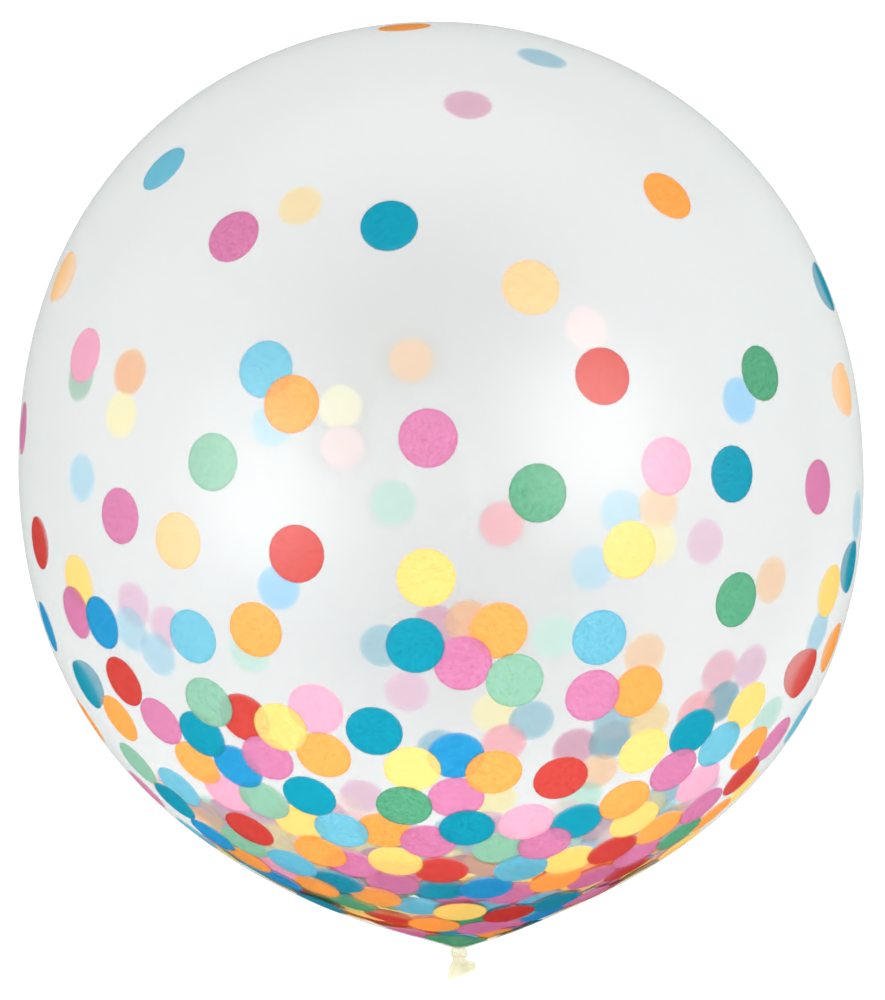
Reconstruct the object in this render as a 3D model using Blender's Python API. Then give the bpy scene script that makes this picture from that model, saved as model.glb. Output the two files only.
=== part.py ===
"""A large round confetti balloon of clear latex, blown up, knotted and lying on its side.

The whole envelope is one moulded piece: the bulb, the drawn-out neck, the knot and the flared tail
with its rolled lip. It is sealed, so it is one solid. Its long axis is Y, with the crown at +Y and
the neck at -Y, and it rests on the small spot that its own weight presses flat, at z = 0.
"""

import math

import bmesh
import bpy
from mathutils import Vector
from mathutils.geometry import interpolate_bezier

# Sizes in metres
DIAMETER = 0.610  # across the bulb at its widest
REST_SPOT_RADIUS = 0.034  # the flat spot where it lies
NECK_RADIUS = 0.0044  # the gathered latex under the knot's wraps
NECK_FILLET = 0.0014  # how far the bulb flares where it runs into the neck
KNOT_LENGTH = 0.0080  # from the bulb's end to where the tail leaves the knot
WRAP_HEIGHT = 0.0019  # how far each wrap of the knot stands out
WRAP_WIDTH = 0.0018
TAIL_LENGTH = 0.0113  # from the knot to the middle of the lip
FLARE_SHARE = 0.6  # of the tail's length, by which it has spread out
TAIL_RADIUS = 0.0086  # mean radius of the flared tail at its lip
LIP_RADIUS = 0.0010  # the rolled bead round the mouth
WALL = 0.0006  # unstretched latex, at the mouth
MOUTH_DEPTH = 0.0080  # how far the tail stays open inside

# The bulb's outline, as shares of its radius: two curves that meet where it is widest
CROWN_HEIGHT = 1.067  # from the widest ring to the crown
CROWN_HANDLE = 0.48  # flat at the crown
UPPER_HANDLE = 0.72  # upright at the widest ring, towards the crown
LOWER_HANDLE = 0.77  # upright at the widest ring, towards the neck
NECK_DROP = 1.133  # from the widest ring to where the neck begins
NECK_HANDLE = 0.39  # along the slope that runs into the neck
NECK_SLOPE = math.radians(17.6)

# What makes it uneven, as in any hand-tied balloon
LEAN = 0.0161  # how far the bulb leans to -X for each metre towards the crown
NECK_SHIFT = 0.0075  # how far the neck is pulled to +X of the bulb's axis
PULLED_LENGTH = 0.035  # the end of the bulb that the pull draws over
TAIL_SHIFT = 0.0010  # how far the tail's lip hangs to +X of the neck

# The tail's folds
TAIL_LOBES = 3
LOBE_DEPTH = 0.30  # of the tail's radius, at the lip
LOBE_TURN = math.radians(18)  # where the first lobe stands, from +X towards +Z
TAIL_FLATTEN = 0.72  # depth of the tail along Z, as a share of its width
LIP_SLANT = 0.32  # the lip is cut back towards the knot on its +X side

# How finely the solid is faceted
SIDES = 64
CROWN_STEPS = 19
LOWER_STEPS = 21
FILLET_STEPS = 2
KNOT_STEPS = 12
TAIL_STEPS = 7
LIP_STEPS = 6
MOUTH_STEPS = 4

RADIUS = DIAMETER / 2
NECK_START = NECK_DROP * RADIUS  # below the widest ring
KNOT_END = NECK_START + KNOT_LENGTH
LIP_AT = KNOT_END + TAIL_LENGTH
AXIS_HEIGHT = math.sqrt(RADIUS**2 - REST_SPOT_RADIUS**2)


def clear_scene():
    for item in list(bpy.data.objects):
        bpy.data.objects.remove(item)


def latex():
    """Clear natural latex, slightly milky."""
    material = bpy.data.materials.new("clear_latex")
    material.use_nodes = True
    shader = material.node_tree.nodes["Principled BSDF"]
    shader.inputs["Base Color"].default_value = (0.86, 0.88, 0.87, 1.0)
    shader.inputs["Roughness"].default_value = 0.3
    shader.inputs["Metallic"].default_value = 0.0
    shader.inputs["Alpha"].default_value = 0.4
    return material


def ease(share):
    """0 to 1 with no kink at either end."""
    share = min(max(share, 0.0), 1.0)
    return share * share * (3 - 2 * share)


def bulb_outline():
    """From the crown over the widest ring to the start of the neck, as (radius, y)."""
    crown = Vector((0, CROWN_HEIGHT, 0))
    widest = Vector((1, 0, 0))
    end = Vector(((NECK_RADIUS + NECK_FILLET) / RADIUS, -NECK_DROP, 0))
    at_crown = crown + Vector((CROWN_HANDLE, 0, 0))
    above_widest = widest + Vector((0, UPPER_HANDLE, 0))
    below_widest = widest - Vector((0, LOWER_HANDLE, 0))
    at_neck = end + NECK_HANDLE * Vector((math.cos(NECK_SLOPE), math.sin(NECK_SLOPE), 0))
    upper = interpolate_bezier(crown, at_crown, above_widest, widest, CROWN_STEPS)
    lower = interpolate_bezier(widest, below_widest, at_neck, end, LOWER_STEPS)
    return [(RADIUS * point.x, RADIUS * point.y) for point in upper + lower[1:]]


def neck_outline():
    """The fillet from the bulb into the gathered neck, and the straight stretch inside the knot."""
    outline = []
    for step in range(1, FILLET_STEPS + 1):
        turn = step / FILLET_STEPS * math.pi / 2
        radius = NECK_RADIUS + NECK_FILLET * (1 - math.sin(turn))
        outline.append((radius, -NECK_START - NECK_FILLET * (1 - math.cos(turn))))
    fillet_end = NECK_START + NECK_FILLET
    for step in range(1, KNOT_STEPS + 1):
        outline.append((NECK_RADIUS, -fillet_end - (KNOT_END - fillet_end) * step / KNOT_STEPS))
    return outline


def tail_outline():
    """The tail's outside, the rolled lip, and its inside back to where it closes."""
    outline = []
    for step in range(1, TAIL_STEPS + 1):
        share = step / TAIL_STEPS
        radius = NECK_RADIUS + (TAIL_RADIUS - NECK_RADIUS) * ease(share / FLARE_SHARE)
        outline.append((radius, -KNOT_END - (TAIL_LENGTH - LIP_RADIUS) * share))
    for step in range(1, LIP_STEPS):
        turn = math.pi / 2 - math.pi * step / LIP_STEPS
        outline.append((TAIL_RADIUS + LIP_RADIUS * math.cos(turn), -LIP_AT + LIP_RADIUS * math.sin(turn)))
    for step in range(MOUTH_STEPS + 1):
        share = step / MOUTH_STEPS
        radius = TAIL_RADIUS - WALL - (TAIL_RADIUS - 0.5 * NECK_RADIUS) * ease(share)
        outline.append((radius, -LIP_AT + MOUTH_DEPTH * share))
    return outline + [(0.0, outline[-1][1])]


def spun(outline):
    """The closed surface that an outline sweeps in one turn about Y."""
    mesh = bmesh.new()
    points = [mesh.verts.new((radius, y, 0)) for radius, y in outline]
    edges = [mesh.edges.new(pair) for pair in zip(points, points[1:])]
    bmesh.ops.spin(
        mesh, geom=points + edges, cent=(0, 0, 0), axis=(0, 1, 0), dvec=(0, 0, 0),
        angle=math.tau, steps=SIDES, use_merge=True, use_duplicate=False,
    )
    bmesh.ops.remove_doubles(mesh, verts=mesh.verts, dist=1e-6)
    bmesh.ops.recalc_face_normals(mesh, faces=mesh.faces)
    return mesh


def wrap_rise(along, turn):
    """How far the knot stands out at a share along it: two wraps that cross it at opposite slants."""
    rise = 0.0
    for middle, slant, phase in ((0.36, 0.13, 0.5), (0.72, 0.11, 2.9)):
        away = (along - middle - slant * math.sin(turn + phase)) * KNOT_LENGTH / WRAP_WIDTH
        rise = max(rise, math.exp(-away * away))
    return WRAP_HEIGHT * rise


def tie_knot(mesh):
    for point in mesh.verts:
        along = (-point.co.y - NECK_START) / KNOT_LENGTH
        radius = math.hypot(point.co.x, point.co.z)
        if radius < 1e-6 or not 0 < along < 1:
            continue
        turn = math.atan2(point.co.z, point.co.x)
        blend = ease(5 * along) * ease(5 * (1 - along))
        stretch = (radius + blend * wrap_rise(along, turn)) / radius
        point.co.x *= stretch
        point.co.z *= stretch


def fold_tail(mesh):
    """Draws the round tail into lobes, flattens it, slants its lip and lets it hang to one side."""
    for point in mesh.verts:
        flare = ease((-point.co.y - KNOT_END) / (FLARE_SHARE * TAIL_LENGTH))
        turn = math.atan2(point.co.z, point.co.x)
        lobe = 1 + flare * LOBE_DEPTH * math.cos(TAIL_LOBES * (turn - LOBE_TURN))
        point.co.x *= lobe
        point.co.z *= lobe * (1 - flare * (1 - TAIL_FLATTEN))
        point.co.y += flare * LIP_SLANT * point.co.x
        point.co.x += flare * TAIL_SHIFT


def lean_and_pull(mesh):
    """Leans the whole balloon to one side and draws the neck to the other."""
    for point in mesh.verts:
        pull = ease(1 + (-point.co.y - NECK_START) / PULLED_LENGTH)
        point.co.x += pull * NECK_SHIFT - LEAN * point.co.y


def press_rest_spot(mesh):
    """Cuts the bulb off flat where it lies, and brings that flat to z = 0."""
    cut = bmesh.ops.bisect_plane(
        mesh, geom=mesh.verts[:] + mesh.edges[:] + mesh.faces[:],
        plane_co=(0, 0, -AXIS_HEIGHT), plane_no=(0, 0, -1), clear_outer=True,
    )
    rim = [part for part in cut["geom_cut"] if isinstance(part, bmesh.types.BMEdge)]
    bmesh.ops.contextual_create(mesh, geom=rim)
    bmesh.ops.recalc_face_normals(mesh, faces=mesh.faces)
    bmesh.ops.translate(mesh, verts=mesh.verts, vec=(0, 0, AXIS_HEIGHT))


def balloon():
    mesh = spun(bulb_outline() + neck_outline() + tail_outline())
    tie_knot(mesh)
    fold_tail(mesh)
    lean_and_pull(mesh)
    press_rest_spot(mesh)
    data = bpy.data.meshes.new("balloon")
    mesh.to_mesh(data)
    mesh.free()
    data.shade_smooth()
    data.set_sharp_from_angle(angle=math.radians(50))
    data.materials.append(latex())
    thing = bpy.data.objects.new("balloon", data)
    bpy.context.scene.collection.objects.link(thing)
    return thing


def main():
    clear_scene()
    balloon()


main()
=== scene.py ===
# %% [markdown]
# # A confetti balloon, lying on its side
#
# The real thing is a big round balloon of clear natural latex. Somebody slips a few hundred discs of
# tissue paper into it, blows it up and ties its own neck in a knot. Static keeps some discs on the
# wall, and the rest slide down towards the neck.
#
# This lesson makes it in that order: the studio first, then the latex skin, then every disc on the
# inside of the wall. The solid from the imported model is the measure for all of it.

# %% The frame
import math
import random

import bmesh
import bpy
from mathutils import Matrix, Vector
from mathutils.bvhtree import BVHTree
from mathutils.geometry import interpolate_bezier


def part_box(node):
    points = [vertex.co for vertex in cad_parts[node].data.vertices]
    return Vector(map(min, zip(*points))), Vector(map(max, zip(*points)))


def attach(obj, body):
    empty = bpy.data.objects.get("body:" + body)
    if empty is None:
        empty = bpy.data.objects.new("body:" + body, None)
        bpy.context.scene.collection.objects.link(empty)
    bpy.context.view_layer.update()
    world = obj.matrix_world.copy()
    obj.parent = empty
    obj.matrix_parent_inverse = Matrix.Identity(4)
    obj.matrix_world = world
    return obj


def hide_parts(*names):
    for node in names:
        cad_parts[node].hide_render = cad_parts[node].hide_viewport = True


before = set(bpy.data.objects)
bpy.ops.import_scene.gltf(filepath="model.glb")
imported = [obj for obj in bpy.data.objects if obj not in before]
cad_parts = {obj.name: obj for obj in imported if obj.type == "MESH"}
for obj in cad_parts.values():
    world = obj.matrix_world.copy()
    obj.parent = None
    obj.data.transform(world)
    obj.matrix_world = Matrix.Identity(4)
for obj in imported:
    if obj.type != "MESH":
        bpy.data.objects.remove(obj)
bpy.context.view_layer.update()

low, high = (Vector(corner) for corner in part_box("balloon"))
RADIUS = (high.x - low.x) / 2  # of the widest ring
REST_SPOT_RADIUS = 0.034
AXIS_HEIGHT = math.sqrt(RADIUS**2 - REST_SPOT_RADIUS**2)
CENTRE = Vector((0, 0, AXIS_HEIGHT))  # middle of the widest ring
print("widest ring", round(2 * RADIUS, 3), "m across, its middle", round(AXIS_HEIGHT, 3), "m up")

# %% [markdown]
# ## The camera
#
# A loose balloon lies down, so the picture is taken from straight above, with the crown at the top.
# How far away was the camera? Discs on the far wall look 0.73 times as big as those on the near wall.
# For a ball that ratio is (d - r) / (d + r), which gives a distance of 6.5 radii. The lens then
# follows from how many pixels the widest ring takes up.

# %% Camera
PHOTO_WIDTH, PHOTO_HEIGHT = 885, 1000
RING_COLUMN, RING_ROW = 441.1, 473.0  # where the widest ring's middle shows
RING_HALF_WIDTH = 422.7  # of the outline, in pixels
SENSOR = 0.036
CAMERA_DISTANCE = 6.5 * RADIUS

# The outline of a ball is a little wider than the ball, because its near side swells towards the camera
swell = 1 / math.sqrt(1 - (RADIUS / CAMERA_DISTANCE) ** 2)
METRES_PER_PIXEL = RADIUS * swell / RING_HALF_WIDTH  # at the height of the balloon's axis
lens = SENSOR * CAMERA_DISTANCE / (METRES_PER_PIXEL * PHOTO_HEIGHT)

camera_data = bpy.data.cameras.new("camera")
camera_data.sensor_fit = "VERTICAL"
camera_data.sensor_height = SENSOR * 1000
camera_data.lens = lens * 1000
camera = bpy.data.objects.new("camera", camera_data)
nearer = 1 - (RADIUS / CAMERA_DISTANCE) ** 2  # the outline's own depth, as a share of the distance
camera.location = CENTRE + Vector((
    (PHOTO_WIDTH / 2 - RING_COLUMN) * METRES_PER_PIXEL * nearer,
    (RING_ROW - PHOTO_HEIGHT / 2) * METRES_PER_PIXEL * nearer,
    CAMERA_DISTANCE,
))
bpy.context.scene.collection.objects.link(camera)
bpy.context.scene.camera = camera
print("camera", round(camera.location.z, 2), "m up, lens", round(lens * 1000, 1), "mm")

# %% [markdown]
# ## Shader sums in plain Python
#
# A material's nodes are easier to read as sums than as wires. `Wire` holds one output socket, and each
# operator on it adds a Math node. `Recipe.node` adds any other node: its settings come first, because
# some of them change which sockets it has, and then the values or wires that go into it.

# %% Wires and recipes
class Wire:
    def __init__(self, recipe, socket):
        self.recipe = recipe
        self.socket = socket

    def _sum(self, operation, first, second):
        return self.recipe.node("ShaderNodeMath", {"operation": operation}, {0: first, 1: second})

    def __add__(self, other):
        return self._sum("ADD", self, other)

    def __sub__(self, other):
        return self._sum("SUBTRACT", self, other)

    def __rsub__(self, other):
        return self._sum("SUBTRACT", other, self)

    def __mul__(self, other):
        return self._sum("MULTIPLY", self, other)

    def __pow__(self, other):
        return self._sum("POWER", self, other)

    __radd__ = __add__
    __rmul__ = __mul__


class Recipe:
    """One material, built node by node."""

    def __init__(self, name):
        self.material = bpy.data.materials.new(name)
        self.material.use_nodes = True
        self.tree = self.material.node_tree
        self.tree.nodes.clear()

    def node(self, kind, settings=None, inputs=None, output=0):
        node = self.tree.nodes.new(kind)
        for key, value in (settings or {}).items():
            setattr(node, key, value)
        for key, value in (inputs or {}).items():
            if isinstance(value, Wire):
                self.tree.links.new(value.socket, node.inputs[key])
            else:
                node.inputs[key].default_value = value
        return Wire(self, node.outputs[output])

    def attribute(self, name):
        return self.node("ShaderNodeAttribute", {"attribute_name": name}, output="Fac")

    def noise(self, scale, detail=2.0):
        place = self.node("ShaderNodeTexCoord", output="Object")
        return self.node("ShaderNodeTexNoise", {}, {"Vector": place, "Scale": scale, "Detail": detail})

    def blend(self, share, first, second):
        """A colour between two colours, by a share."""
        settings = {"data_type": "RGBA"}
        return self.node("ShaderNodeMix", settings, {"Factor": share, 6: first, 7: second}, output=2)

    def mix(self, share, first, second):
        """A shader between two shaders, by a share."""
        return self.node("ShaderNodeMixShader", {}, {0: share, 1: first, 2: second})

    def finish(self, shader):
        self.node_out = self.tree.nodes.new("ShaderNodeOutputMaterial")
        self.tree.links.new(shader.socket, self.node_out.inputs["Surface"])
        return self.material


# %% [markdown]
# ## Floor and light
#
# White on white: the floor is a light table, a pale sheet with a glow of its own, which lights the
# balloon from behind as a bright backdrop does. Under the balloon its glow and its colour are painted
# darker, a painted shadow in place of the room's light that the balloon keeps from it, and that alone
# tells clear latex from the white around it. Round the spot where the balloon touches it, light is
# painted in as a little more glow, or a dark patch would show through. It is hidden from reflections,
# or the latex would mirror it and lay a veil over the confetti.

# %% Floor
FLOOR_SIZE = 16.0
FLOOR_GLOW, FLOOR_GREY = 0.32, 0.57
# A painted shadow on the floor under the balloon: where it lies, where it fades out, and how dark it is.
PAINTED_SHADOW_MIDDLE = Vector((-0.007, 0.023, 0))
PAINTED_SHADOW_FROM, PAINTED_SHADOW_TO = 0.31, 0.37  # metres from that middle, between which the floor turns bright
PAINTED_SHADOW_LEVEL = 0.70  # of its full brightness
# Painted light round the resting spot, which hides the dark patch of the real contact shadow there.
PAINTED_SPOT_LIGHTS = ((0.020, 0.160, 1.15), (0.022, 0.045, 1.10))  # metres from and to, and how much brighter


def link_mesh(name, mesh):
    """An object at the origin from a bmesh, which is used up."""
    data = bpy.data.meshes.new(name)
    mesh.to_mesh(data)
    mesh.free()
    thing = bpy.data.objects.new(name, data)
    bpy.context.scene.collection.objects.link(thing)
    return thing


bpy.context.scene.view_settings.view_transform = "Standard"
sheet = bmesh.new()
bmesh.ops.create_grid(sheet, x_segments=1, y_segments=1, size=FLOOR_SIZE / 2)
floor = link_mesh("floor", sheet)
table = Recipe("light_table")


def ring(middle, start, end, inside, outside):
    """A number that changes smoothly from inside to outside with the distance from a point."""
    place = table.node("ShaderNodeTexCoord", output="Object")
    ends = {0: place, 1: middle}
    away = table.node("ShaderNodeVectorMath", {"operation": "DISTANCE"}, ends, output="Value")
    return table.node(
        "ShaderNodeMapRange", {"interpolation_type": "SMOOTHSTEP"},
        {"Value": away, "From Min": start, "From Max": end, "To Min": inside, "To Max": outside},
    )


# The floor's brightness carries the painted shadow and the painted light into its glow and its colour.
brightness = ring(PAINTED_SHADOW_MIDDLE, PAINTED_SHADOW_FROM, PAINTED_SHADOW_TO, PAINTED_SHADOW_LEVEL, 1.0)
for start, end, inside in PAINTED_SPOT_LIGHTS:
    brightness = brightness * ring(Vector((0, 0, 0)), start, end, inside, 1.0)
glow = table.blend(brightness, (0, 0, 0, 1), (1, 1, 1, 1))
matt = table.blend(brightness, (0, 0, 0, 1), (FLOOR_GREY, FLOOR_GREY, FLOOR_GREY, 1))
front = {"Base Color": matt, "Emission Color": glow, "Emission Strength": FLOOR_GLOW, "Roughness": 0.9}
floor.data.materials.append(table.finish(table.node("ShaderNodeBsdfPrincipled", {}, front)))
floor.visible_glossy = False
print("light table", FLOOR_SIZE, "m wide, at", PAINTED_SHADOW_LEVEL, "of its brightness under the balloon")

# %% [markdown]
# The room is plain white, and its walls are brighter than its ceiling. Two big soft lights make the
# two glows on the latex. A glow sits where the surface leans halfway between the eye and the light,
# so each light's place is worked out from where its glow shows. A third light fills in the heap from
# the neck's side. It and the room are hidden from reflections, so that the two glows stay alone.

# %% Lights
CEILING, WALLS = 0.61, 1.34  # how bright the white room is overhead and all round
LIGHT_DISTANCE = 4.2
FILL_WATTS, FILL_SIZE, FILL_PLACE = 46, 1.6, Vector((0, -2.3, 1.3))
GLOWS = {  # the pixel where each glow is brightest, its light's size in metres and its power in watts
    "left_softbox": ((262, 485), 2.8, 108),
    "right_softbox": ((592, 440), 3.0, 136),
}

world = bpy.data.worlds.new("world")
bpy.context.scene.world = world
world.use_nodes = True
room = world.node_tree.nodes
place = room.new("ShaderNodeTexCoord")
upward = room.new("ShaderNodeSeparateXYZ")
bright = room.new("ShaderNodeMapRange")
for socket, value in (("From Min", 0), ("From Max", 1), ("To Min", WALLS), ("To Max", CEILING)):
    bright.inputs[socket].default_value = value
world.node_tree.links.new(place.outputs["Generated"], upward.inputs["Vector"])
world.node_tree.links.new(upward.outputs["Z"], bright.inputs["Value"])
world.node_tree.links.new(bright.outputs["Result"], room["Background"].inputs["Strength"])
room["Background"].inputs["Color"].default_value = (1, 1, 1, 1)
world.cycles_visibility.glossy = False


def ray_through(column, row):
    """The direction in which the camera looks through a pixel."""
    across = (column - PHOTO_WIDTH / 2) * METRES_PER_PIXEL
    up = (PHOTO_HEIGHT / 2 - row) * METRES_PER_PIXEL
    return Vector((across, up, -CAMERA_DISTANCE)).normalized()


def meets_ball(column, row):
    """Where the camera's ray through a pixel first meets a ball of the widest ring's radius."""
    ray = ray_through(column, row)
    away = camera.location - CENTRE
    half = away.dot(ray)
    return camera.location + ray * (-half - math.sqrt(half**2 - away.length_squared + RADIUS**2))


for name, (pixel, size, watts) in GLOWS.items():
    spot = meets_ball(*pixel)
    outward = (spot - CENTRE).normalized()
    bounce = ray_through(*pixel).reflect(outward)
    light = bpy.data.lights.new(name, "AREA")
    light.shape = "DISK"
    light.size = size
    light.energy = watts
    softbox = bpy.data.objects.new(name, light)
    softbox.location = spot + bounce * LIGHT_DISTANCE
    softbox.rotation_euler = bounce.to_track_quat("Z", "Y").to_euler()
    bpy.context.scene.collection.objects.link(softbox)
    print(name, "at", [round(value, 2) for value in softbox.location])

fill = bpy.data.lights.new("neck_fill", "AREA")
fill.shape = "DISK"
fill.size = FILL_SIZE
fill.energy = FILL_WATTS
fill_box = bpy.data.objects.new("neck_fill", fill)
fill_box.location = FILL_PLACE
fill_box.rotation_euler = (FILL_PLACE - CENTRE).to_track_quat("Z", "Y").to_euler()
fill_box.visible_glossy = False
bpy.context.scene.collection.objects.link(fill_box)

# %% [markdown]
# ## The skin's outline
#
# A balloon is nearly a ball where it is free, and nearly a cone where the neck pulls on it. Two Bezier
# curves that meet upright at the widest ring draw it: one flat over the crown, one that runs into the
# neck on a slope. The knot and the tail follow on the same outline, so that one spin makes the lot and
# the latex stays one piece, as it is in life.

# %% The skin's sizes
CROWN_HEIGHT, CROWN_HANDLE = 1.067 * RADIUS, 0.48 * RADIUS
UPPER_HANDLE, LOWER_HANDLE = 0.72 * RADIUS, 0.77 * RADIUS
NECK_START, NECK_HANDLE = 1.133 * RADIUS, 0.39 * RADIUS
NECK_SLOPE = math.radians(17.6)
NECK_RADIUS, NECK_FILLET = 0.0044, 0.0014
KNOT_LENGTH, TAIL_LENGTH = 0.0080, 0.0113
FLARE_SHARE = 0.6  # of the tail, by which it has spread out
TAIL_RADIUS, LIP_RADIUS = 0.0086, 0.0010
WALL, MOUTH_DEPTH = 0.0006, 0.0080
KNOT_END = NECK_START + KNOT_LENGTH
LIP_AT = KNOT_END + TAIL_LENGTH
SIDES, UPPER_STEPS, LOWER_STEPS = 160, 56, 80


def ease(share):
    """0 to 1 with no kink at either end."""
    share = min(max(share, 0.0), 1.0)
    return share * share * (3 - 2 * share)


def bulb_outline():
    """From the crown over the widest ring to the neck, as points in the XY plane."""
    crown = Vector((0, CROWN_HEIGHT, 0))
    widest = Vector((RADIUS, 0, 0))
    end = Vector((NECK_RADIUS + NECK_FILLET, -NECK_START, 0))
    at_crown = crown + Vector((CROWN_HANDLE, 0, 0))
    above_widest = widest + Vector((0, UPPER_HANDLE, 0))
    below_widest = widest - Vector((0, LOWER_HANDLE, 0))
    at_neck = end + NECK_HANDLE * Vector((math.cos(NECK_SLOPE), math.sin(NECK_SLOPE), 0))
    upper = interpolate_bezier(crown, at_crown, above_widest, widest, UPPER_STEPS)
    lower = interpolate_bezier(widest, below_widest, at_neck, end, LOWER_STEPS)
    return upper + lower[1:]


def neck_outline(fillet_steps=4, knot_steps=26):
    outline = []
    for step in range(1, fillet_steps + 1):
        turn = step / fillet_steps * math.pi / 2
        drop = NECK_FILLET * (1 - math.cos(turn))
        outline.append(Vector((NECK_RADIUS + NECK_FILLET * (1 - math.sin(turn)), -NECK_START - drop, 0)))
    first = NECK_START + NECK_FILLET
    for step in range(1, knot_steps + 1):
        outline.append(Vector((NECK_RADIUS, -first - (KNOT_END - first) * step / knot_steps, 0)))
    return outline


def tail_outline(tail_steps=20, lip_steps=12, mouth_steps=12):
    """The tail's outside, the rolled lip, and its inside back to where it closes."""
    outline = []
    for step in range(1, tail_steps + 1):
        share = step / tail_steps
        radius = NECK_RADIUS + (TAIL_RADIUS - NECK_RADIUS) * ease(share / FLARE_SHARE)
        outline.append(Vector((radius, -KNOT_END - (TAIL_LENGTH - LIP_RADIUS) * share, 0)))
    for step in range(1, lip_steps):
        turn = math.pi / 2 - math.pi * step / lip_steps
        along = -LIP_AT + LIP_RADIUS * math.sin(turn)
        outline.append(Vector((TAIL_RADIUS + LIP_RADIUS * math.cos(turn), along, 0)))
    for step in range(mouth_steps + 1):
        share = step / mouth_steps
        radius = TAIL_RADIUS - WALL - (TAIL_RADIUS - 0.5 * NECK_RADIUS) * ease(share)
        outline.append(Vector((radius, -LIP_AT + MOUTH_DEPTH * share, 0)))
    return outline + [Vector((0, outline[-1].y, 0))]


skin_outline = bulb_outline() + neck_outline() + tail_outline()
print("the outline has", len(skin_outline), "points")

# %% [markdown]
# ## Spinning the skin
#
# The outline could be lathed with a Screw modifier, but `bmesh.ops.spin` keeps the result in a bmesh,
# where the knot and the folds are pressed into it straight away. The wall is a single sheet. Real
# latex is a tenth of a millimetre thick here, far too thin to need an inside of its own.

# %% Spin
skin = bmesh.new()
points = [skin.verts.new(point) for point in skin_outline]
edges = [skin.edges.new(pair) for pair in zip(points, points[1:])]
bmesh.ops.spin(
    skin, geom=points + edges, cent=(0, 0, 0), axis=(0, 1, 0), dvec=(0, 0, 0),
    angle=math.tau, steps=SIDES, use_merge=True, use_duplicate=False,
)
bmesh.ops.remove_doubles(skin, verts=skin.verts, dist=1e-6)
bmesh.ops.recalc_face_normals(skin, faces=skin.faces)
print("spun", len(skin.faces), "faces")

# %% [markdown]
# ## Knot, folds and a stretched neck
#
# The neck is tied in itself: two wraps of latex cross it at opposite slants. Above the knot the wall
# is gathered in fine pleats that die out over a few centimetres, and below it the tail opens in three
# loose folds with a rolled lip, cut off at a slant. All of it is how far each point stands out from
# the axis, as a function of how far along and how far round it is.

# %% How the latex is gathered
WRAPS = ((0.34, 0.15, 0.5, 0.0019), (0.72, 0.13, 2.9, 0.0021))  # place, slant, phase and height of each
WRAP_WIDTH = 0.0017
PLEATS, PLEAT_LENGTH, PLEAT_HEIGHT = 15, 0.030, 0.0006
TAIL_LOBES, LOBE_DEPTH, LOBE_TURN = 3, 0.30, math.radians(18)
TAIL_FLATTEN, LIP_SLANT, TAIL_SHIFT = 0.72, 0.32, 0.0010
LEAN, NECK_SHIFT, PULLED_LENGTH = 0.0161, 0.0075, 0.035


def wrap_rise(along, turn):
    rise = 0.0
    for middle, slant, phase, height in WRAPS:
        away = (along - middle - slant * math.sin(turn + phase)) * KNOT_LENGTH / WRAP_WIDTH
        rise = max(rise, height * math.exp(-away * away))
    return rise


def crease(turn):
    """Uneven folds round the neck, from -1 to 1."""
    broad = math.cos(PLEATS * turn + 1.3 * math.sin(3 * turn))
    return 0.7 * broad + 0.3 * math.cos((PLEATS + 6) * turn + 0.8)


def gather(point):
    down = -point.y - NECK_START
    turn = math.atan2(point.z, point.x)
    radius = math.hypot(point.x, point.z)
    if radius < 1e-6 or down < -PLEAT_LENGTH:
        return
    pleat = PLEAT_HEIGHT * crease(turn) * min(radius / 0.006, 1)
    if down < 0:
        rise = pleat * ease(1 + down / PLEAT_LENGTH) ** 2
    elif down < KNOT_LENGTH:
        along = down / KNOT_LENGTH
        wrapped = ease(5 * along) * ease(5 * (1 - along))
        rise = wrapped * wrap_rise(along, turn) + 0.4 * pleat
    else:
        flare = ease((down - KNOT_LENGTH) / (FLARE_SHARE * TAIL_LENGTH))
        rise = pleat * (0.4 - 0.15 * flare)
    point.x += rise * math.cos(turn)
    point.z += rise * math.sin(turn)


def fold_tail(point):
    flare = ease((-point.y - KNOT_END) / (FLARE_SHARE * TAIL_LENGTH))
    turn = math.atan2(point.z, point.x)
    lobe = 1 + flare * LOBE_DEPTH * math.cos(TAIL_LOBES * (turn - LOBE_TURN))
    point.x *= lobe
    point.z *= lobe * (1 - flare * (1 - TAIL_FLATTEN))
    point.y += flare * LIP_SLANT * point.x
    point.x += flare * TAIL_SHIFT


def lean_and_pull(point):
    pull = ease(1 + (-point.y - NECK_START) / PULLED_LENGTH)
    point.x += pull * NECK_SHIFT - LEAN * point.y


# %% [markdown]
# How thick the latex is decides how it looks: blown thin it is clear with a faint milkiness, and left
# thick, at the knot, the tail and a small patch on the crown, it is cream and nearly opaque. Each
# point remembers that as the attribute `thick`.

# %% Shape the skin
CROWN_PATCH, CROWN_THICK = 0.045, 0.16
THICK_NECK = 0.009

thick = skin.verts.layers.float.new("thick")
for vert in skin.verts:
    radius = math.hypot(vert.co.x, vert.co.z)
    at_neck = ease(1 - (NECK_START + vert.co.y) / THICK_NECK)
    at_crown = CROWN_THICK * ease(1.4 - radius / CROWN_PATCH) if vert.co.y > 0 else 0.0
    vert[thick] = max(at_neck**2, at_crown)
    gather(vert.co)
    fold_tail(vert.co)
    lean_and_pull(vert.co)
    vert.co.z = max(vert.co.z, -AXIS_HEIGHT) + AXIS_HEIGHT  # pressed flat where it lies
wall = BVHTree.FromBMesh(skin)
balloon_skin = link_mesh("balloon_skin", skin)
balloon_skin.data.shade_smooth()
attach(balloon_skin, "root")
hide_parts("balloon")
print("skin", len(balloon_skin.data.polygons), "faces")

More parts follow.
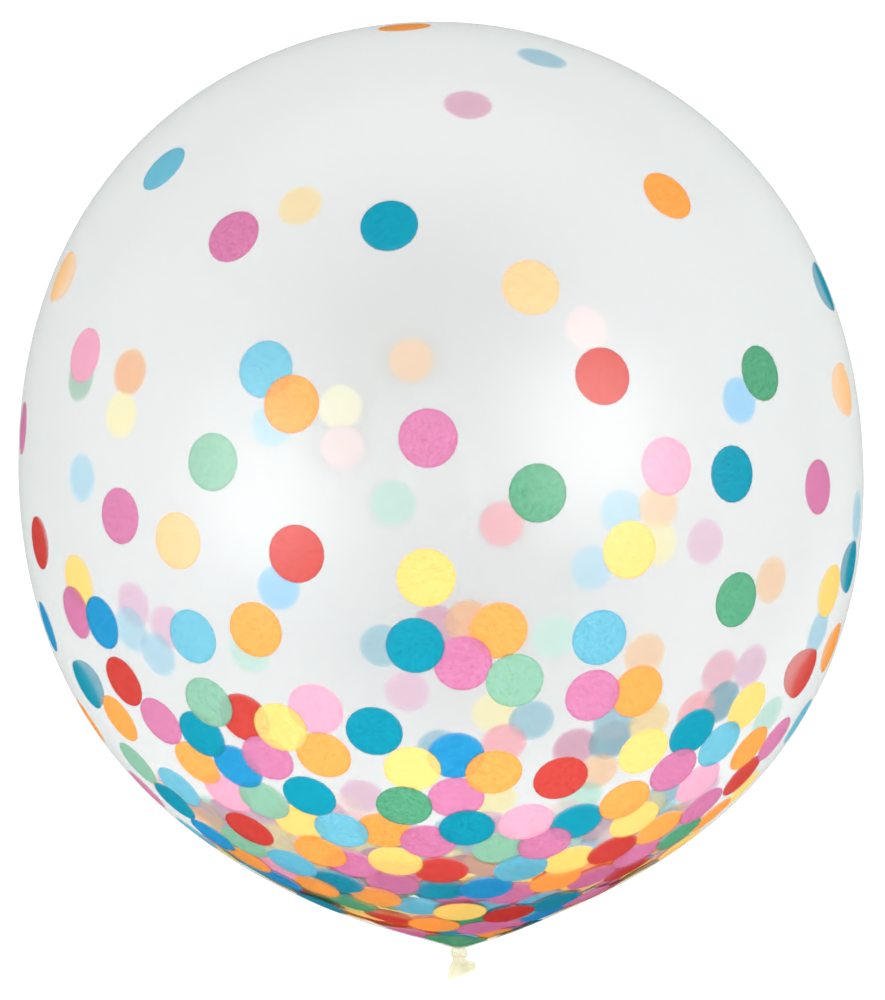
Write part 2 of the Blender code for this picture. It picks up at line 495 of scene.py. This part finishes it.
# %% [markdown]
# ## Clear latex
#
# Glass bends what is behind it, and a plain alpha only thins a colour out. A stretched film of latex
# does neither: part of the light goes straight through, and the rest is scattered forward, into the
# balloon, by its milkiness. So a disc that touches the film stays bright, lit through it, and a disc
# on the far wall turns pale. A Transparent and a Translucent shader, mixed, do just that. Towards the
# outline, where the way through the film is long, a greyer Transparent takes over, and a small share
# of a satin gloss on top carries the two glows.

# %% Latex material
MILKINESS = 0.36  # the share of light that stretched latex scatters, seen square on
EDGE_MILKINESS = 0.43  # and seen edge on, where the way through it is longer
EDGE_SHADE = 0.72  # how much of that long way turns grey
THICK_OPACITY = 0.94  # of latex that isn't stretched
GLOSS = 0.046

latex = Recipe("clear_latex")
thickness = latex.attribute("thick")
milk = latex.blend(thickness, (0.97, 0.985, 0.985, 1), (0.89, 0.88, 0.74, 1))
edge = latex.node("ShaderNodeLayerWeight", {}, {"Blend": 0.5}, output="Facing") ** 2
stretched = MILKINESS + (EDGE_MILKINESS - MILKINESS) * edge
opacity = stretched + (THICK_OPACITY - stretched) * thickness
clear = latex.node("ShaderNodeBsdfTransparent", {}, {"Color": (0.955, 0.982, 0.984, 1)})
cloudy = latex.node("ShaderNodeBsdfTranslucent", {}, {"Color": milk})
satin = latex.node("ShaderNodeBsdfGlossy", {}, {"Color": (1, 1, 1, 1), "Roughness": 0.37})
murky = latex.node("ShaderNodeBsdfTransparent", {}, {"Color": (0.60, 0.62, 0.61, 1)})
film = latex.mix(EDGE_SHADE * edge, latex.mix(opacity, clear, cloudy), murky)
balloon_skin.data.materials.append(latex.finish(latex.mix(GLOSS, film, satin)))

# %% [markdown]
# ## The confetti
#
# The discs are punched from tissue paper, and there are a few hundred, so each is the simplest shape
# that still reads as round: a very flat cylinder of twenty sides. What makes them paper is how they
# lie. Each point of a disc is snapped to the inside of the wall, so the disc takes the wall's curve,
# and each new disc lies just behind the ones it overlaps.

# %% One disc
DISC_RADIUS = 0.0186
DISC_SIDES = 20
PAPER = 0.0001  # thickness
SHEET_GAP = 0.0003  # from one layer to the next
SKIN_GAP = 0.0004

template = bmesh.new()
bmesh.ops.create_cone(
    template, cap_ends=True, cap_tris=True, segments=DISC_SIDES,
    radius1=DISC_RADIUS, radius2=DISC_RADIUS, depth=PAPER,
)
disc_data = bpy.data.meshes.new("disc_template")
template.to_mesh(disc_data)
print("a disc has", len(disc_data.polygons), "faces")

# %% [markdown]
# ## Where the discs lie
#
# The discs that the photograph shows are placed one by one, each by the pixel where its middle shows,
# in the photograph's 885 by 1000 frame. A ray from the camera through that pixel finds the near wall,
# or the far wall for the pale ones. In each list the discs nearest the skin come first.

# %% Discs seen on the near wall
NEAR = [
    ("orange", 404, 26), ("sky", 163, 168), ("magenta", 233, 236), ("teal", 389, 225),
    ("orange", 668, 195), ("peach", 531, 287), ("pink", 84, 355), ("orange", 291, 404),
    ("sky", 265, 369), ("red", 603, 376), ("green", 761, 373), ("magenta", 22, 428),
    ("magenta", 428, 438), ("mint", 212, 462), ("pink", 667, 466), ("teal", 733, 474),
    ("magenta", 819, 487), ("green", 538, 493), ("magenta", 119, 516),
    ("peach", 177, 541), ("red", 296, 554), ("yellow", 426, 578), ("yellow", 630, 550),
    ("blue", 101, 623), ("magenta", 75, 613), ("yellow", 77, 582),
    ("blue", 47, 627), ("green", 737, 600), ("sky", 192, 637), ("orange", 255, 630), ("teal", 415, 646),
    ("magenta", 463, 664), ("orange", 499, 631), ("sky", 600, 638), ("mint", 515, 681),
    ("magenta", 593, 696), ("orange", 638, 692),
    ("red", 123, 682), ("orange", 119, 719), ("orange", 90, 722),
    ("magenta", 160, 722), ("mint", 208, 703), ("teal", 201, 735), ("orange", 196, 764),
    ("mint", 137, 764), ("yellow", 280, 728), ("magenta", 267, 759), ("red", 244, 719),
    ("blue", 237, 768), ("orange", 323, 756), ("pink", 315, 710), ("teal", 374, 732),
    ("green", 404, 807), ("yellow", 412, 770), ("orange", 494, 773), ("blue", 456, 757),
    ("teal", 467, 829), ("magenta", 456, 799), ("red", 561, 779), ("yellow", 644, 752),
    ("magenta", 674, 771), ("sky", 720, 745), ("teal", 693, 733), ("yellow", 748, 707),
    ("pink", 699, 783), ("orange", 750, 749), ("magenta", 775, 740), ("red", 743, 777),
    ("magenta", 702, 807), ("orange", 625, 801), ("yellow", 635, 821), ("orange", 660, 829),
    ("teal", 174, 802), ("sky", 178, 788), ("magenta", 146, 790), ("mint", 263, 802), ("pink", 226, 795),
    ("red", 249, 830), ("blue", 212, 836), ("teal", 309, 797), ("sky", 341, 831), ("orange", 320, 853),
    ("yellow", 298, 824), ("magenta", 428, 843), ("orange", 384, 832), ("yellow", 395, 863),
    ("magenta", 352, 866), ("red", 441, 872), ("pink", 526, 823), ("magenta", 545, 845),
    ("teal", 577, 823), ("sky", 521, 870), ("mint", 500, 850), ("red", 613, 851),
    ("magenta", 637, 856), ("yellow", 570, 862), ("orange", 556, 883), ("magenta", 593, 880),
    ("green", 680, 835), ("mint", 244, 844), ("orange", 247, 860), ("blue", 278, 880),
    ("sky", 292, 864), ("pink", 272, 868), ("orange", 314, 888), ("teal", 337, 884),
    ("orange", 375, 900), ("magenta", 392, 887), ("green", 350, 906), ("blue", 486, 890),
    ("teal", 441, 893), ("magenta", 512, 896), ("red", 509, 915), ("teal", 556, 903),
    ("yellow", 460, 913), ("sky", 417, 910), ("magenta", 587, 898), ("red", 629, 872),
    ("orange", 434, 926), ("red", 388, 921), ("magenta", 482, 929), ("blue", 546, 915),
    ("green", 449, 941), ("green", 463, 944), ("magenta", 410, 934),
    ("orange", 712, 817), ("yellow", 743, 791), ("sky", 799, 722), ("yellow", 680, 846),
    ("sky", 196, 834), ("yellow", 216, 853), ("teal", 320, 906), ("yellow", 361, 918),
]

# %% Discs near the outline that have half let go of the wall, and by how many degrees
LOOSE_DEPTH = 0.002
LOOSE = [
    ("peach", 61, 276, 16), ("peach", 845, 389, 15), ("teal", 851, 567, 11), ("yellow", 830, 591, 4),
    ("red", 804, 674, 24), ("orange", 832, 648, 6), ("teal", 86, 685, 18), ("red", 39, 543, 4),
    ("teal", 825, 286, 12),
]

# %% Discs seen through the balloon, on the far wall
# The pale dyes here are a painted veil: the light that the milky latex scatters over the far wall is
# painted into their colour.
FAR = [
    ("sky", 542, 57), ("magenta", 468, 104), ("yellow", 300, 205), ("blush", 587, 328),
    ("orange", 129, 372), ("mint", 80, 377), ("cream", 120, 415), ("peach", 411, 360),
    ("ivory", 340, 407), ("ice", 272, 424), ("blush", 342, 447), ("azure", 740, 400), ("ice", 81, 478),
    ("foam", 393, 503), ("coral", 502, 524), ("ice", 621, 512), ("peach", 659, 507), ("cream", 658, 543),
    ("ice", 592, 568), ("lilac", 706, 542), ("peach", 772, 580), ("azure", 278, 588),
    ("lilac", 133, 605), ("ice", 130, 630), ("lilac", 167, 628), ("ice", 157, 655), ("foam", 249, 652),
    ("sky", 382, 646), ("magenta", 436, 627), ("orange", 468, 622), ("foam", 554, 637),
    ("peach", 645, 655), ("pink", 720, 672), ("lilac", 751, 667), ("ice", 819, 632),
    ("ice", 858, 516), ("lilac", 407, 692), ("cream", 494, 713), ("sky", 532, 721),
    ("coral", 504, 744), ("magenta", 575, 748), ("teal", 611, 741), ("sky", 615, 722),
    ("yellow", 650, 723), ("teal", 722, 703), ("coral", 697, 712), ("sky", 440, 749),
    ("peach", 597, 773), ("foam", 768, 718), ("foam", 581, 800), ("cream", 494, 800),
    ("sky", 661, 798), ("lilac", 362, 797), ("blush", 345, 812), ("lilac", 211, 815),
    ("lilac", 602, 832), ("foam", 487, 871), ("cream", 284, 836),
]
print(len(NEAR), "discs on the near wall,", len(FAR), "on the far wall")

# %% [markdown]
# ## Laying a disc
#
# `BVHTree.ray_cast` finds the wall behind a pixel, and `find_nearest` drops each of the disc's points
# onto the wall, a hair's breadth inside it. A disc's layer is one more than the deepest layer among
# the discs it overlaps. That is all the stacking there is, and it never lets two discs cut through
# each other. A few discs near the outline look rounder than the wall there allows: they have half let
# go of it, and are turned towards the camera by a few degrees.

# %% Laying
laid = []  # the middle, the wall's normal there, the layer, the dye and the wall of every disc
TOUCHING = 1.9 * DISC_RADIUS  # two discs whose middles are nearer than this overlap
NUDGE = 0.004  # a share of the way to the ring's middle


def seen_on_wall(column, row, far):
    """The wall behind a pixel. A pixel on the very edge is moved in until its ray meets the wall."""
    for _ in range(60):
        ray = ray_through(column, row)
        spot, normal, *_ = wall.ray_cast(camera.location, ray)
        if spot is not None:
            break
        column += (RING_COLUMN - column) * NUDGE
        row += (RING_ROW - row) * NUDGE
    if far:
        spot, normal, *_ = wall.ray_cast(spot + ray * 0.004, ray)
    return spot, normal


def lowest_free_layer(spot):
    layer = 0
    for other, _, taken, *_ in laid:
        if (other - spot).length < TOUCHING:
            layer = max(layer, taken + 1)
    return layer


for far, places in ((False, NEAR), (True, FAR)):
    for dye, column, row in places:
        spot, normal = seen_on_wall(column, row, far)
        laid.append((spot, normal, lowest_free_layer(spot), dye, far))


def let_go(column, row, degrees):
    """The middle and the facing of a disc turned from the wall towards the camera."""
    spot, normal = seen_on_wall(column, row, False)
    ray = (spot - camera.location).normalized()
    towards = (-ray - normal * -ray.dot(normal)).normalized()
    angle = math.radians(degrees)
    return spot + ray * LOOSE_DEPTH, normal * math.cos(angle) + towards * math.sin(angle)


loose = [(dye, *let_go(column, row, degrees)) for dye, column, row, degrees in LOOSE]
print("placed by hand:", len(laid), "discs, up to", max(entry[2] for entry in laid) + 1, "layers deep")

# %% [markdown]
# ## The rest of the heap
#
# Nobody can see the heap's inside or its far half, so chance lays those. It still works like a heap:
# the nearer the neck, the more discs, and out of a few tries each disc takes the place where it sinks
# deepest, as a loose disc slides off a pile. The upper part of its far half shows between the near
# discs, and like the far wall's own discs it gets pale dyes, a painted veil of the light that the milky
# latex scatters over them.

# %% Scatter
chance = random.Random(24)
HEAP_TOP_SIDE, HEAP_TOP_BELOW = 0.225, 0.275  # below the widest ring, at the sides and underneath
HEAP_DISCS, TRIES = 340, 4
HAND_PLACED_ABOVE = -0.27  # on the near side, down to here, the lists above say where discs are
# Pale dyes for the far half of the heap, a painted veil of the latex's scattered light.
VEIL_PAINTED_DYES = "peach ice foam cream blush lilac".split()
PALE_ABOVE = -0.30  # the far half of the heap is pale down to here
DYES_IN_HEAP = (
    "orange yellow red magenta teal green sky pink orange yellow magenta blue orange magenta teal "
    "yellow green red sky peach mint"
).split()


def wall_beside_axis(along, turn):
    """The wall straight out from the axis, so far along it and so far round."""
    way = Vector((math.cos(turn), 0, math.sin(turn)))
    spot, normal, *_ = wall.ray_cast(CENTRE + Vector((-LEAN * along, along, 0)), way)
    return spot, normal


def shows_in_front(spot):
    """True where the listed discs already say what the camera sees."""
    return spot.z > AXIS_HEIGHT - 0.02 and spot.y > HAND_PLACED_ABOVE


for _ in range(HEAP_DISCS):
    best = None
    for _ in range(TRIES):
        turn = chance.uniform(0, math.tau)
        top = HEAP_TOP_SIDE + (HEAP_TOP_BELOW - HEAP_TOP_SIDE) * max(-math.sin(turn), 0)
        depth = top + (NECK_START - 0.006 - top) * chance.random() ** 0.85
        spot, normal = wall_beside_axis(-depth, turn)
        if shows_in_front(spot):
            continue
        layer = lowest_free_layer(spot)
        if best is None or layer < best[2]:
            best = (spot, normal, layer)
    if best:
        pale = best[0].z < AXIS_HEIGHT and best[0].y > PALE_ABOVE
        laid.append((*best, chance.choice(VEIL_PAINTED_DYES if pale else DYES_IN_HEAP), pale))
print("discs in all:", len(laid), "up to", max(entry[2] for entry in laid) + 1, "layers deep")

# %% [markdown]
# ## Tissue paper
#
# Dyed tissue is so thin that much of what you see of it is light from behind. That is why a disc alone
# on the wall looks pale and bright, why one on top of another shows the other's edge, and part of why
# the heap is deep in colour; the rest of that is painted shade, which darkens and deepens a disc's dye
# the lower it lies in the heap. Three shaders share it: a matt Principled one for the light on the
# paper, a Translucent one for the light that spreads through it, and a tinted Transparent one for the
# holes between its fibres. Fibres make the dye uneven, and the punch leaves the rim a little denser.
#
# A disc on the far wall is seen through milky latex and looks pale and soft. The plain shaders here
# can't blur it, so it has a pale dye, a painted veil of the light that the latex scatters over it, and a
# rim that fades out, by its attribute `far`.

# %% Dyes
SHOWS_LIGHT = 0.34  # the share of a disc's colour that is light from behind it
HOLES = 0.32  # the share of it that is seen straight through
FAR_SHEER = 0.06  # how much the milky film pales a disc on the far wall
FAR_GROWTH = 1.08  # and how much wider its blurred edge makes it
GRAIN, GRAIN_SCALE = 1.8, 480  # how strong the fibres are, and how fine
# The heap's shade is painted into its dye: the lower a disc lies in the heap, the darker and deeper its
# colour.
RIM_SHADE, TONES, HEAP_SHADE = 0.80, 0.10, 0.62  # how far rim, disc and heap change the colour
HEAP_SHADE_FROM, HEAP_SHADE_OVER = 0.20, 0.12  # metres below the widest ring, over which the heap gets deeper
DYES = {
    "orange": (0.97, 0.52, 0.14),
    "peach": (0.99, 0.72, 0.43),
    "yellow": (0.97, 0.77, 0.31),
    "red": (0.74, 0.10, 0.08),
    "magenta": (0.77, 0.32, 0.53),
    "pink": (0.92, 0.54, 0.67),
    "green": (0.17, 0.51, 0.32),
    "mint": (0.39, 0.64, 0.50),
    "teal": (0.002, 0.43, 0.56),
    "sky": (0.26, 0.63, 0.75),
    "blue": (0.03, 0.43, 0.71),
    # From here on, pale dyes for discs seen through the latex: lighter copies of the dyes above, a
    # painted veil of the light that the milky latex scatters.
    "azure": (0.22, 0.72, 0.98),
    "coral": (0.99, 0.47, 0.54),
    "ice": (0.50, 0.80, 0.92),
    "foam": (0.64, 0.90, 0.82),
    "cream": (0.99, 0.93, 0.55),
    "blush": (0.99, 0.86, 0.85),
    "lilac": (0.88, 0.62, 0.78),
    "ivory": (0.99, 0.96, 0.74),
}


def tissue(name, dye):
    paper = Recipe(name)
    fibres = paper.noise(GRAIN_SCALE)
    from_middle = paper.attribute("from_middle")
    far = paper.attribute("far")
    rim = from_middle**30 * (1 - far)
    light = GRAIN * fibres - 0.13 - RIM_SHADE * rim + TONES * paper.attribute("tone")
    # The deep colour is the darker end both for the fibres and for the heap's painted shade.
    deep = (*(channel**1.6 for channel in dye), 1)
    pale = (*(channel + 0.25 * (1 - channel) * channel for channel in dye), 1)
    # The heap's painted shade pulls each disc's colour towards the deep end.
    colour = paper.blend(light - HEAP_SHADE * paper.attribute("painted_heap_shade"), deep, pale)
    front = {"Base Color": colour, "Roughness": 0.85, "Specular IOR Level": 0.2}
    matt = paper.node("ShaderNodeBsdfPrincipled", {}, front)
    glow = paper.node("ShaderNodeBsdfTranslucent", {}, {"Color": colour})
    holes = paper.node("ShaderNodeBsdfTransparent", {}, {"Color": (*dye, 1)})
    clear = paper.node("ShaderNodeBsdfTransparent", {}, {"Color": (1, 1, 1, 1)})
    haze = far * (FAR_SHEER + (1 - FAR_SHEER) * from_middle**8)
    disc = paper.mix(HOLES, paper.mix(SHOWS_LIGHT, matt, glow), holes)
    return paper.finish(paper.mix(haze, disc, clear))


# %% [markdown]
# All discs of one dye are one object: nineteen objects are kinder to the next person than hundreds.
# Each point of a disc keeps four numbers for its material: how far it is from the disc's middle, the
# disc's own tone, how much painted shade the heap lays on it by how deep it lies, and whether it is on
# the far wall.

# %% Build the discs
def add_disc(mesh, spot, normal, layer=None, far=False):
    """Adds the template to a bmesh, laid on the wall. Without a layer it stays flat where it has room."""
    first = len(mesh.verts)
    mesh.from_mesh(disc_data)
    mesh.verts.ensure_lookup_table()
    across = normal.orthogonal().normalized()
    along = normal.cross(across)
    tone = chance.uniform(-1, 1)
    # Painted shade: the lower a disc lies in the heap, the darker its dye is painted.
    painted_heap_shade = ease((-spot.y - HEAP_SHADE_FROM) / HEAP_SHADE_OVER)
    for vert in mesh.verts[first:]:
        flat = vert.co * (FAR_GROWTH if far else 1)
        vert[mesh.verts.layers.float["from_middle"]] = math.hypot(vert.co.x, vert.co.y) / DISC_RADIUS
        vert[mesh.verts.layers.float["tone"]] = tone
        vert[mesh.verts.layers.float["painted_heap_shade"]] = painted_heap_shade
        vert[mesh.verts.layers.float["far"]] = far
        vert.co = spot + across * flat.x + along * flat.y + normal * flat.z
        place, outward, *_ = wall.find_nearest(vert.co)
        inside = SKIN_GAP + (layer or 0) * SHEET_GAP + PAPER / 2 - flat.z
        if layer is not None or (place - vert.co).dot(outward) < inside:
            vert.co = place - outward * inside


for dye, colour in DYES.items():
    confetti = bmesh.new()
    for name in ("from_middle", "tone", "painted_heap_shade", "far"):
        confetti.verts.layers.float.new(name)
    for spot, normal, layer, worn, far in laid:
        if worn == dye:
            add_disc(confetti, spot, normal, layer, far)
    for worn, spot, normal in loose:
        if worn == dye:
            add_disc(confetti, spot, normal)
    bmesh.ops.recalc_face_normals(confetti, faces=confetti.faces)
    discs = link_mesh(f"confetti_{dye}", confetti)
    discs.data.materials.append(tissue(f"{dye}_tissue", colour))
    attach(discs, "root")
    print(discs.name, len(discs.data.polygons), "faces")
